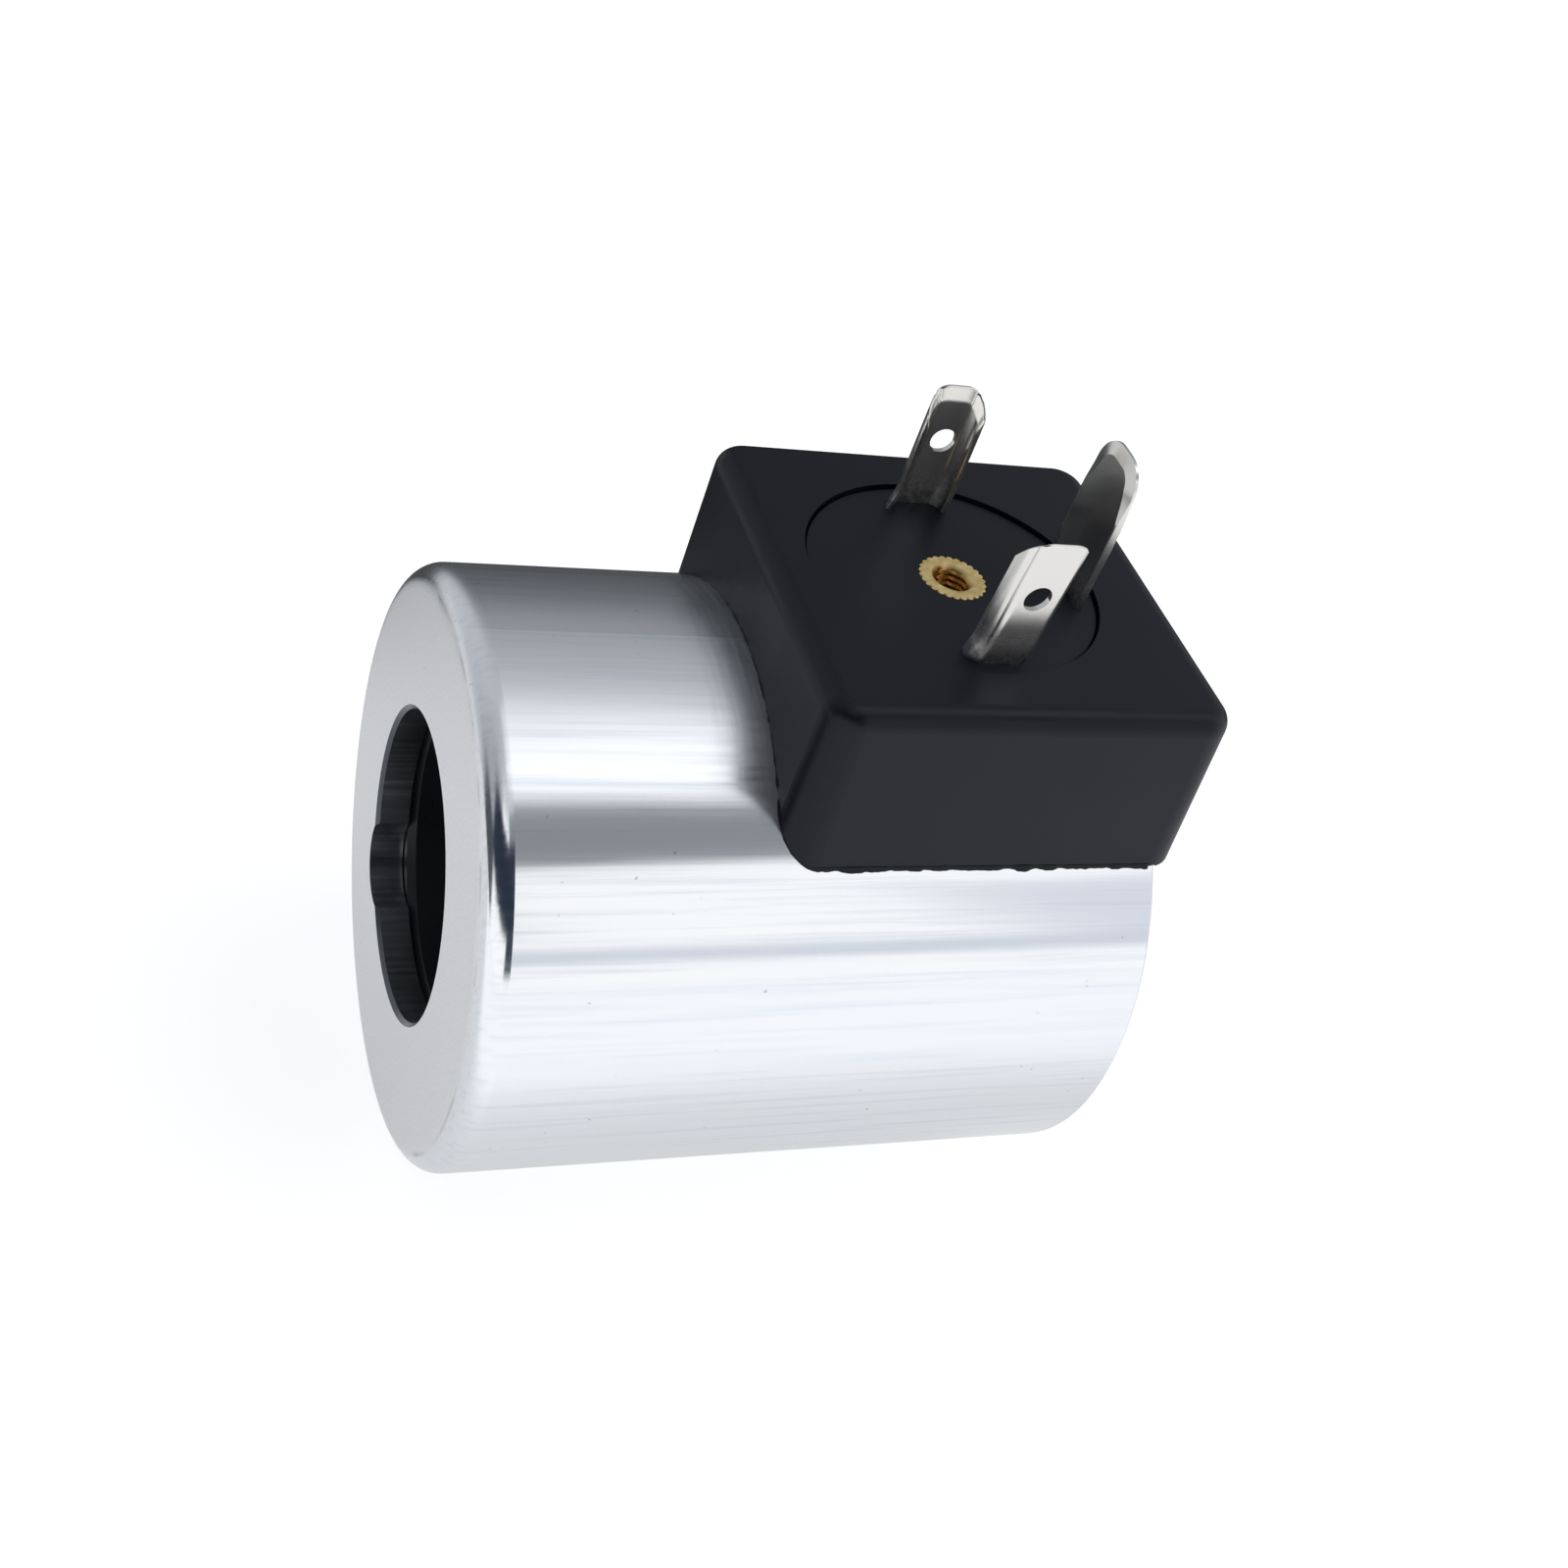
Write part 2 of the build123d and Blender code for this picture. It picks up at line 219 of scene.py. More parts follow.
    # Tool marks round the can: 0.5 mm apart along it, broken every 6 mm
    ringed = add_node(
        tree, "ShaderNodeMapping", {"Vector": place, "Scale": (1000 / 0.5, 1000 / 6, 1000 / 6)}
    ).outputs[0]
    tool_marks = add_node(
        tree,
        "ShaderNodeTexNoise",
        {"Vector": ringed, "Scale": 1.0, "Detail": 3.0, "Roughness": 0.6},
    ).outputs["Fac"]
    rubbed_and_shaded = add_node(
        tree, "ShaderNodeMath", {0: beside_block, 1: tool_marks}, operation="MULTIPLY"
    ).outputs[0]
    # Painted shade beside the block: the colour is multiplied down to #C8CACE
    tint = add_node(tree, "ShaderNodeValToRGB", {"Fac": rubbed_and_shaded})
    set_ramp(tint, [(0.1, srgb("#FFFFFF")), (0.7, srgb("#C8CACE"))])

    # Colour by place: faint draw lines on the side, satin face, and in the bore painted shade with
    # streaks of painted reflection along it
    lined = add_node(tree, "ShaderNodeValToRGB", {"Fac": draw_lines})
    set_ramp(lined, [(0.5, srgb("#E9EBEE")), (0.7, srgb("#DFE3E9"))])
    # Painted shade in the bore, streaked along the axis as painted reflection
    bore_shade_and_streaks = add_node(tree, "ShaderNodeValToRGB", {"Fac": draw_lines})
    set_ramp(bore_shade_and_streaks, [(0.4, srgb("#A9ACB1")), (0.66, srgb("#D0D3D8"))])
    mottled = add_node(tree, "ShaderNodeValToRGB", {"Fac": grain})
    set_ramp(mottled, [(0.3, srgb("#EBEBEC")), (0.7, srgb("#F4F4F5"))])
    # The chamfer of the bore is the only sloped part inside it; painted shade darkens it so that it
    # shows no bright ring
    chamfered = add_node(
        tree,
        "ShaderNodeMapRange",
        {"Value": facing_share, "From Min": 0.1, "From Max": 0.5, "To Min": 0.0, "To Max": 1.0},
    ).outputs[0]
    toned = add_node(
        tree,
        "ShaderNodeMix",
        {0: chamfered, 6: bore_shade_and_streaks.outputs[0], 7: srgb("#5C5F63")},
        data_type="RGBA",
    ).outputs[2]
    for share, over in ((outside_bore, lined), (on_face, mottled)):
        toned = add_node(
            tree, "ShaderNodeMix", {0: share, 6: toned, 7: over.outputs[0]}, data_type="RGBA"
        ).outputs[2]

    # A few specks, the peaks of a 0.7 mm noise, and a broken scuffed line where the face rolls
    # into the rim
    spots = add_node(
        tree, "ShaderNodeTexNoise", {"Vector": place, "Scale": 1500.0, "Detail": 1.0}
    ).outputs["Fac"]
    specks = add_node(
        tree,
        "ShaderNodeMapRange",
        {"Value": spots, "From Min": 0.77, "From Max": 0.83, "To Min": 0.0, "To Max": 0.45},
    ).outputs[0]
    edge_line = add_node(tree, "ShaderNodeValToRGB", {"Fac": facing_share})
    set_ramp(edge_line, [(0.935, 0.0), (0.955, 1.0), (0.965, 1.0), (0.985, 0.0)])
    broken = add_node(
        tree, "ShaderNodeTexNoise", {"Vector": place, "Scale": 260.0, "Detail": 4.0}
    ).outputs["Fac"]
    patchy = add_node(
        tree,
        "ShaderNodeMapRange",
        {"Value": broken, "From Min": 0.45, "From Max": 0.65, "To Min": 0.0, "To Max": 0.35},
    ).outputs[0]
    scuffed = add_node(
        tree, "ShaderNodeMath", {0: edge_line.outputs[0], 1: patchy}, operation="MULTIPLY"
    ).outputs[0]
    worn = add_node(tree, "ShaderNodeMath", {0: specks, 1: scuffed}, operation="MAXIMUM").outputs[0]
    # First the painted shade beside the block is multiplied in, then the specks and scuffs are laid
    # over
    for share, over, blend in ((1.0, tint.outputs[0], "MULTIPLY"), (worn, srgb("#62666C"), "MIX")):
        toned = add_node(
            tree,
            "ShaderNodeMix",
            {0: share, 6: toned, 7: over},
            data_type="RGBA",
            blend_type=blend,
        ).outputs[2]
    tree.links.new(toned, shader.inputs["Base Color"])

    streaks = add_node(
        tree, "ShaderNodeMath", {0: draw_lines, 1: ripples}, operation="ADD"
    ).outputs[0]
    relief = add_node(
        tree, "ShaderNodeMix", {0: on_face, 2: streaks, 3: grain}, data_type="FLOAT"
    ).outputs[0]
    bump = add_node(
        tree, "ShaderNodeBump", {"Height": relief, "Strength": 0.3, "Distance": 0.0065 * MM}
    ).outputs[0]
    marked = add_node(
        tree,
        "ShaderNodeBump",
        {"Height": rubbed_and_shaded, "Strength": 0.3, "Distance": 0.005 * MM, "Normal": bump},
    ).outputs[0]
    tree.links.new(marked, shader.inputs["Normal"])
    shader.inputs["Metallic"].default_value = 1.0
    return material


def moulded_glass_filled_nylon(name, dark, light, gloss):
    """Glass-filled nylon, moulded: dark, semi-matte, with fine grain and faint flow clouds."""
    material, tree, shader = new_finish(name)
    place = add_node(tree, "ShaderNodeTexCoord").outputs["Object"]
    # Flow clouds, about 8 mm across
    clouds = add_node(
        tree, "ShaderNodeTexNoise", {"Vector": place, "Scale": 125.0, "Detail": 3.0}
    ).outputs["Fac"]
    # Surface grain of the moulding tool, 0.15 mm
    grain = add_node(
        tree, "ShaderNodeTexNoise", {"Vector": place, "Scale": 6500.0, "Detail": 2.0}
    ).outputs["Fac"]
    tint = add_node(tree, "ShaderNodeValToRGB", {"Fac": clouds})
    set_ramp(tint, [(0.3, srgb(dark)), (0.7, srgb(light))])
    tree.links.new(tint.outputs[0], shader.inputs["Base Color"])
    roughness = add_node(
        tree,
        "ShaderNodeMapRange",
        {
            "Value": clouds,
            "From Min": 0.3,
            "From Max": 0.7,
            "To Min": gloss - 0.05,
            "To Max": gloss + 0.07,
        },
    ).outputs[0]
    tree.links.new(roughness, shader.inputs["Roughness"])
    bump = add_node(
        tree, "ShaderNodeBump", {"Height": grain, "Strength": 0.3, "Distance": 0.01 * MM}
    ).outputs[0]
    tree.links.new(bump, shader.inputs["Normal"])
    shader.inputs["IOR"].default_value = 1.53
    # Fibres at the skin scatter part of the mirror image
    shader.inputs["Specular IOR Level"].default_value = 0.22
    return material


def nickel_plated_brass_strip():
    """Nickel-plated brass, stamped from strip: bright, mottled, duller towards the moulding."""
    material, tree, shader = new_finish("nickel_plated_brass_strip")
    place = add_node(tree, "ShaderNodeTexCoord").outputs["Object"]
    height = add_node(tree, "ShaderNodeSeparateXYZ", {0: place}).outputs["Z"]
    # Mottling of the haze, 0.6 mm
    mottle = add_node(
        tree,
        "ShaderNodeTexNoise",
        {"Vector": place, "Scale": 1600.0, "Detail": 4.0, "Roughness": 0.6},
    ).outputs["Fac"]
    # Ripples of the rolled strip, 2.5 mm
    ripples = add_node(
        tree, "ShaderNodeTexNoise", {"Vector": place, "Scale": 400.0, "Detail": 2.0}
    ).outputs["Fac"]
    # Flux and moulding haze, fading out above the block
    haze = add_node(
        tree,
        "ShaderNodeMapRange",
        {
            "Value": height,
            "From Min": block_top,
            "From Max": block_top + haze_height,
            "To Min": 1.0,
            "To Max": 0.0,
        },
        interpolation_type="SMOOTHSTEP",
    ).outputs[0]
    spotted = add_node(
        tree, "ShaderNodeMath", {0: haze, 1: mottle}, operation="MULTIPLY"
    ).outputs[0]
    tint = add_node(tree, "ShaderNodeValToRGB", {"Fac": spotted})
    set_ramp(tint, [(0.12, srgb("#DCDAD6")), (0.55, srgb("#7A7B7E"))])
    tree.links.new(tint.outputs[0], shader.inputs["Base Color"])
    roughness = add_node(
        tree,
        "ShaderNodeMapRange",
        {"Value": spotted, "From Min": 0.1, "From Max": 0.5, "To Min": 0.21, "To Max": 0.42},
    ).outputs[0]
    tree.links.new(roughness, shader.inputs["Roughness"])
    # Ripples all over, and the haze's own relief where there is haze
    relief = add_node(
        tree, "ShaderNodeMath", {0: ripples, 1: spotted}, operation="ADD"
    ).outputs[0]
    bump = add_node(
        tree, "ShaderNodeBump", {"Height": relief, "Strength": 0.3, "Distance": 0.04 * MM}
    ).outputs[0]
    tree.links.new(bump, shader.inputs["Normal"])
    shader.inputs["Metallic"].default_value = 1.0
    return material


def turned_brass():
    """Free-cutting brass, turned and knurled: a pale satin rim, and painted shade with a glossier
    finish in the thread.
    """
    material, tree, shader = new_finish("turned_brass")
    place = add_node(tree, "ShaderNodeTexCoord").outputs["Object"]
    height = add_node(tree, "ShaderNodeSeparateXYZ", {0: place}).outputs["Z"]
    # Stains of the cut surface, 0.7 mm
    stain = add_node(
        tree, "ShaderNodeTexNoise", {"Vector": place, "Scale": 1500.0, "Detail": 3.0}
    ).outputs["Fac"]
    clean = add_node(tree, "ShaderNodeValToRGB", {"Fac": stain})
    set_ramp(clean, [(0.3, srgb("#E9CB80")), (0.7, srgb("#FBE7AE"))])
    # Painted shade in the thread, dark brown and glossier: full from 0.5 mm below the rim
    thread_shade_and_gloss = add_node(
        tree,
        "ShaderNodeMapRange",
        {
            "Value": height,
            "From Min": insert_high.z - 0.5 * MM,
            "From Max": insert_high.z - 0.1 * MM,
            "To Min": 1.0,
            "To Max": 0.0,
        },
    ).outputs[0]
    tint = add_node(
        tree,
        "ShaderNodeMix",
        {0: thread_shade_and_gloss, 6: clean.outputs[0], 7: srgb("#8A5A26")},
        data_type="RGBA",
    ).outputs[2]
    tree.links.new(tint, shader.inputs["Base Color"])
    satin = add_node(
        tree,
        "ShaderNodeMapRange",
        {"Value": stain, "From Min": 0.3, "From Max": 0.7, "To Min": 0.4, "To Max": 0.55},
    ).outputs[0]
    roughness = add_node(
        tree, "ShaderNodeMix", {0: thread_shade_and_gloss, 2: satin, 3: 0.2}, data_type="FLOAT"
    ).outputs[0]
    tree.links.new(roughness, shader.inputs["Roughness"])
    shader.inputs["Metallic"].default_value = 1.0
    return material


def enamelled_copper_wire():
    """Enamelled copper wire, wound: copper colour under clear enamel, one ridge to each turn."""
    material, tree, shader = new_finish("enamelled_copper_wire")
    place = add_node(tree, "ShaderNodeTexCoord").outputs["Object"]
    # Turns of 0.5 mm wire, side by side along the bore
    turns = add_node(
        tree,
        "ShaderNodeTexWave",
        {"Vector": place, "Scale": 1000 / 0.5 * math.tau / 20, "Distortion": 0.3, "Detail": 1.0},
        wave_type="BANDS",
        bands_direction="X",
    ).outputs["Fac"]
    # Darker into the groove between turns: painted shade
    tint = add_node(tree, "ShaderNodeValToRGB", {"Fac": turns})
    set_ramp(tint, [(0.0, srgb("#5E2A12")), (1.0, srgb("#B8662F"))])
    tree.links.new(tint.outputs[0], shader.inputs["Base Color"])
    bump = add_node(
        tree, "ShaderNodeBump", {"Height": turns, "Strength": 0.6, "Distance": 0.1 * MM}
    ).outputs[0]
    tree.links.new(bump, shader.inputs["Normal"])
    shader.inputs["Metallic"].default_value = 1.0
    shader.inputs["Roughness"].default_value = 0.3
    shader.inputs["Coat Weight"].default_value = 0.5
    return material


def woven_sheet(name, dark, light, pitch):
    """Woven tape or sleeve: two crossed sets of threads at a pitch in millimetres."""
    material, tree, shader = new_finish(name)
    place = add_node(tree, "ShaderNodeTexCoord").outputs["Object"]
    threads = []
    for direction in ("X", "DIAGONAL"):
        threads.append(
            add_node(
                tree,
                "ShaderNodeTexWave",
                {"Vector": place, "Scale": 1000 / pitch * math.tau / 20},
                wave_type="BANDS",
                bands_direction=direction,
            ).outputs["Fac"]
        )
    weave = add_node(
        tree, "ShaderNodeMath", {0: threads[0], 1: threads[1]}, operation="MULTIPLY"
    ).outputs[0]
    tint = add_node(tree, "ShaderNodeValToRGB", {"Fac": weave})
    set_ramp(tint, [(0.0, srgb(dark)), (1.0, srgb(light))])
    tree.links.new(tint.outputs[0], shader.inputs["Base Color"])
    bump = add_node(
        tree, "ShaderNodeBump", {"Height": weave, "Strength": 0.5, "Distance": 0.05 * MM}
    ).outputs[0]
    tree.links.new(bump, shader.inputs["Normal"])
    shader.inputs["Roughness"].default_value = 0.75
    return material


def dull_solder():
    """Tin solder, flowed and set: dull grey with a slightly frosted skin."""
    material, tree, shader = new_finish("dull_solder")
    place = add_node(tree, "ShaderNodeTexCoord").outputs["Object"]
    frost = add_node(
        tree, "ShaderNodeTexNoise", {"Vector": place, "Scale": 3000.0, "Detail": 3.0}
    ).outputs["Fac"]
    tint = add_node(tree, "ShaderNodeValToRGB", {"Fac": frost})
    set_ramp(tint, [(0.3, srgb("#8D9092")), (0.7, srgb("#B9BBBC"))])
    tree.links.new(tint.outputs[0], shader.inputs["Base Color"])
    shader.inputs["Metallic"].default_value = 1.0
    shader.inputs["Roughness"].default_value = 0.45
    return material


steel = zinc_plated_drawn_steel()
block_plastic = moulded_glass_filled_nylon(
    "moulded_glass_filled_nylon", "#080B16", "#0E1220", 0.37
)
base_plastic = moulded_glass_filled_nylon(
    "pre_moulded_glass_filled_nylon", "#090C16", "#0F131F", 0.4
)
# The bobbin's grey, lighter than the block's black, is painted light for the little light deep in
# the bore
bobbin_plastic = moulded_glass_filled_nylon("bobbin_nylon", "#1E2023", "#26282B", 0.3)
nickel = nickel_plated_brass_strip()
brass = turned_brass()
copper = enamelled_copper_wire()
tape = woven_sheet("woven_polyester_tape", "#A98530", "#D8B45A", 0.3)
sleeving = woven_sheet("braided_glass_sleeve", "#BDB9A8", "#E6E2D4", 0.25)
solder = dull_solder()

finish_of = {
    "steel_shell": steel,
    "rear_end_plate": steel,
    "connector_block": block_plastic,
    "terminal_base": base_plastic,
    "bobbin": bobbin_plastic,
    "winding_encapsulation": bobbin_plastic,
    "far_contact_blade": nickel,
    "near_contact_blade": nickel,
    "ground_blade": nickel,
    "ground_strap": nickel,
    "threaded_insert": brass,
    "copper_winding": copper,
    "start_lead": copper,
    "finish_lead": copper,
    "winding_tape": tape,
    "start_lead_sleeve": sleeving,
    "finish_lead_sleeve": sleeving,
    "start_solder_joint": solder,
    "finish_solder_joint": solder,
}
for name, finish in finish_of.items():
    for material_slot in nodes[name].material_slots:
        material_slot.material = finish


def finish_mesh(shape, name, finish, smooth_angle=30):
    """Turns a bmesh into an object with its finish, smooth but for edges over the angle."""
    bmesh.ops.recalc_face_normals(shape, faces=shape.faces)
    mesh = bpy.data.meshes.new(name)
    shape.to_mesh(mesh)
    shape.free()
    mesh.materials.append(finish)
    mesh.shade_smooth()
    mesh.set_sharp_from_angle(angle=math.radians(smooth_angle))
    piece = bpy.data.objects.new(name, mesh)
    bpy.context.scene.collection.objects.link(piece)
    return piece


# Threaded insert: knurled outside, an M3 thread cut in the hole

insert_radius = (insert_high.x - insert_low.x) / 2
insert_centre_x = (insert_high.x + insert_low.x) / 2
knurl_count = 26
knurl_depth = 0.22 * MM
thread_pitch = 0.5 * MM
thread_major_radius = 1.5 * MM
thread_minor_radius = 1.25 * MM
countersink_radius = 1.62 * MM
rim_round = 0.06 * MM
rim_land = 0.3 * MM
countersink_lip = 0.02 * MM
steps_per_knurl = 6
steps_per_pitch = 8


def knurl_radius(angle):
    """Outer radius with rounded ridges and narrow grooves."""
    wave = abs(math.sin(knurl_count * angle / 2)) ** 0.7
    return insert_radius - knurl_depth * (1 - wave)


def thread_radius(angle, height):
    """Radius of the hole's wall: one sharp groove to each turn of the thread."""
    turn = (height / thread_pitch - angle / math.tau) % 1.0
    crest = 1 - abs(2 * turn - 1)
    return thread_minor_radius + (thread_major_radius - thread_minor_radius) * crest


def build_insert():
    """The insert: rings of points from the knurled outside over the rim and down the thread."""
    shape = bmesh.new()
    length = insert_high.z - insert_low.z
    around = knurl_count * steps_per_knurl
    rows = []

    def add_row(radius_at, depth):
        """One ring at a depth below the rim, its radius given for each angle."""
        row = []
        for index in range(around):
            angle = math.tau * index / around
            radius = radius_at(angle)
            row.append(
                shape.verts.new(
                    (
                        insert_centre_x + radius * math.cos(angle),
                        radius * math.sin(angle),
                        insert_high.z - depth,
                    )
                )
            )
        rows.append(row)

    add_row(knurl_radius, length)
    add_row(knurl_radius, rim_round)
    add_row(lambda angle: knurl_radius(angle) - rim_round, 0)
    add_row(lambda angle: countersink_radius + rim_land, 0)
    add_row(lambda angle: countersink_radius, countersink_lip)
    # The countersink is as deep as it is wide
    thread_start = countersink_radius - thread_minor_radius
    steps = int((length - thread_start) / thread_pitch * steps_per_pitch)
    for step in range(steps + 1):
        depth = thread_start + (length - thread_start) * step / steps
        add_row(lambda angle, depth=depth: thread_radius(angle, depth), depth)
    rows.append(rows[0])
    for row, following in zip(rows, rows[1:]):
        for index in range(around):
            after = (index + 1) % around
            shape.faces.new((row[index], row[after], following[after], following[index]))
    return finish_mesh(shape, "knurled_threaded_insert", brass, smooth_angle=40)


insert = build_insert()
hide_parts("threaded_insert")
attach(insert, "root")


# Contact blades: strip folded to a channel, its tip rounded, sloped and coined

far_low, far_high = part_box("far_contact_blade")
ground_low, ground_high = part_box("ground_blade")
contact_depth = far_high.y - far_low.y
strip_thickness = 0.45 * MM
fold_reach = 0.22 * MM
pocket_flat = 1.6 * MM
pocket_mouth = 2.5 * MM
pocket_bow = 0.3 * MM
flange_bow = 0.22 * MM
edge_round = 0.1 * MM
score_depth = 0.1 * MM
tip_corner = 1.8 * MM
tip_round = 0.06 * MM
tip_round_length = 0.08 * MM
coined_length = 1.0 * MM
coined_share = 0.4
flange_slope_length = 2.1 * MM
contact_hole_height = 5.7 * MM
contact_hole_radius = 1.0 * MM
# The least fold, the pocket's fold and the most that an edge may round off of the thickness
least_fold = 0.1 * MM
pocket_fold = 0.02 * MM
most_rounded = 0.4
# Height above the base over which the strip goes from its pocket's section to its own
settle_height = 1.5 * MM
# Points along each flange, each fold and the back of the section, and rows below and above the base
flange_steps = 8
fold_steps = 6
back_steps = 16
buried_rows = 3
shown_rows = 24
# The point of each flange just before its fold
score_point = flange_steps
# Distances from the tip of the last rows
TIP_ROWS = [distance * MM for distance in (1.3, 1.0, 0.8, 0.6, 0.4, 0.2, 0.08, 0.02, 0.0)]


def strip_section(left, right, mouth_left, mouth_right, most_bow, fold, inset):
    """Seen along the blade, the strip's face this far inside its outer one, left to right.

    Each point is across and depth: a bowed flange, a fold, the flat back, a fold, a flange.
    """
    back, front = contact_depth / 2 - inset, -contact_depth / 2
    halves = []
    for flat_end, mouth_end, outward in (
        (left + inset / 2, mouth_left + inset, -1),
        (right - inset / 2, mouth_right - inset, 1),
    ):
        corner, mouth = Vector((flat_end, back)), Vector((mouth_end, front))
        flange_end = 1 - fold / (corner - mouth).length
        half = []
        steps = [part / flange_steps for part in range(1, flange_steps + 1)]
        for step in (0.0, edge_round / contact_depth, *steps):
            share = step * flange_end
            bow = Vector((outward * most_bow * math.sin(math.pi * share), 0))
            half.append(mouth.lerp(corner, share) + bow)
        start, finish = half[-1], Vector((flat_end - outward * fold, back))
        for step in range(1, fold_steps + 1):
            share = step / fold_steps
            half.append(start.lerp(corner, share).lerp(corner.lerp(finish, share), share))
        halves.append(half)
    left_half, right_half = halves
    across_back = [
        left_half[-1].lerp(right_half[-1], step / back_steps) for step in range(1, back_steps)
    ]
    return left_half + across_back + right_half[::-1]


def tip_height(across, depth, half_width, full_height):
    """Where the strip ends above its foot: round corners, and a slope down the flanges."""
    past_corner = max(abs(across) - (half_width - tip_corner), 0.0)
    drop = tip_corner - math.sqrt(max(tip_corner**2 - min(past_corner, tip_corner) ** 2, 0.0))
    fall = (contact_depth / 2 - depth) / contact_depth
    slope = flange_slope_length * max(fall, 0.0) ** 1.1
    return full_height - max(drop, slope)


def build_contact_blade(node, side, lean, shift, flat, mouth, hole_shift):
    """One contact blade, in place of its solid.

    Side is 1 or -1 for the way its back faces; lean is travel along +X for each unit of height
    above the base. In millimetres: shift along +X, the ends of its flat back and of its open
    mouth, and the shift of its hole.
    """
    low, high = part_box(node)
    full_height = high.z - low.z
    foot = base_top - low.z

    def face_at(settled, inset):
        """The section as wide as its pocket at the foot, as wide as photographed above."""
        fold = max(fold_reach - inset, least_fold)
        sides = [value * MM for value in (*flat, *mouth)]
        pocket_sides = (-pocket_flat, pocket_flat, -pocket_mouth, pocket_mouth)
        pocket = strip_section(*pocket_sides, pocket_bow, pocket_fold, inset)
        shown = strip_section(*sides, flange_bow, fold, inset)
        if inset == 0.0:
            # The line that the strip was scored along, beside each fold
            shown[score_point].x += score_depth
            shown[-1 - score_point].x -= score_depth
        return [low_point.lerp(point, settled) for low_point, point in zip(pocket, shown)]

    section = face_at(1.0, 0.0)
    half_width = max(abs(mouth[0]), abs(mouth[1])) * MM
    last = len(section) - 1
    shape = bmesh.new()
    outer, inner = [], []
    for index, (across, depth) in enumerate(section):
        top = tip_height(across, depth, half_width, full_height)
        heights = [foot * row / buried_rows for row in range(buried_rows)]
        run_up = top - TIP_ROWS[0] - foot
        heights += [foot + run_up * row / shown_rows for row in range(shown_rows)]
        heights += [top - distance for distance in TIP_ROWS]
        outer_row, inner_row = [], []
        for height in heights:
            settled = min(max(height - foot, 0.0) / settle_height, 1.0)
            from_tip = top - height
            share = coined_share + (1 - coined_share) * min(from_tip / coined_length, 1.0)
            thickness = strip_thickness * share
            rounding = tip_round * max(1 - from_tip / tip_round_length, 0.0)
            if index in (0, last):
                rounding = max(rounding, edge_round)
            rounded = min(rounding / thickness, most_rounded)
            outside = face_at(settled, 0.0)[index]
            inside = face_at(settled, thickness)[index]
            for vertices, point in (
                (outer_row, outside.lerp(inside, rounded)),
                (inner_row, inside.lerp(outside, rounded)),
            ):
                vertices.append(shape.verts.new((*point, height)))
        outer.append(outer_row)
        inner.append(inner_row)
    columns, rows = len(section), buried_rows + shown_rows + len(TIP_ROWS)
    for column in range(columns - 1):
        for row in range(rows - 1):
            a, b = outer[column][row], outer[column + 1][row]
            c, d = outer[column + 1][row + 1], outer[column][row + 1]
            shape.faces.new((a, b, c, d))
            a, b = inner[column][row], inner[column + 1][row]
            c, d = inner[column + 1][row + 1], inner[column][row + 1]
            shape.faces.new((d, c, b, a))
        here, there = (outer[column], inner[column]), (outer[column + 1], inner[column + 1])
        shape.faces.new((here[0][-1], there[0][-1], there[1][-1], here[1][-1]))
        shape.faces.new((here[1][0], there[1][0], there[0][0], here[0][0]))
    for row in range(rows - 1):
        shape.faces.new((inner[0][row], outer[0][row], outer[0][row + 1], inner[0][row + 1]))
        shape.faces.new((outer[-1][row], inner[-1][row], inner[-1][row + 1], outer[-1][row + 1]))
    piece = finish_mesh(shape, "folded_" + node, nickel)

    # The hole through the back of the strip
    cutter_shape = bmesh.new()
    bmesh.ops.create_cone(
        cutter_shape,
        cap_ends=True,
        segments=48,
        radius1=contact_hole_radius,
        radius2=contact_hole_radius,
        depth=4 * contact_depth,
        matrix=Matrix.Translation((hole_shift * MM, 0, foot + contact_hole_height))
        @ Matrix.Rotation(math.pi / 2, 4, "X"),
    )
    cutter = finish_mesh(cutter_shape, "hole_cutter", nickel)
    cut = piece.modifiers.new("hole", "BOOLEAN")
    cut.object = cutter
    cut.operation = "DIFFERENCE"
    cut.solver = "EXACT"
    bpy.context.view_layer.update()
    drilled = piece.evaluated_get(bpy.context.evaluated_depsgraph_get())
    mesh = bpy.data.meshes.new_from_object(drilled)
    piece.modifiers.clear()
    piece.data = mesh
    bpy.data.objects.remove(cutter)

    # Stood in place, and leaning a little as bent by handling
    middle_y = (low.y + high.y) / 2
    for vertex in mesh.vertices:
        x, y, z = vertex.co
        above = max(z - foot, 0.0)
        settled = min(above / settle_height, 1.0)
        leaned = pattern_x + x + settled * shift * MM + lean * above
        vertex.co = (leaned, middle_y + side * y, low.z + z)
    if side < 0:
        mesh.flip_normals()
    mesh.shade_smooth()
    mesh.set_sharp_from_angle(angle=math.radians(35))
    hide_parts(node)
    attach(piece, "root")


build_contact_blade("far_contact_blade", 1, 0.04, 0.25, (-1.55, 1.55), (-2.4, 2.4), 0.2)
build_contact_blade("near_contact_blade", -1, 0.12, 0.15, (-1.55, 1.85), (-2.4, 2.6), 0.03)


# Ground blade: flat strip, bevelled round its tip on both faces


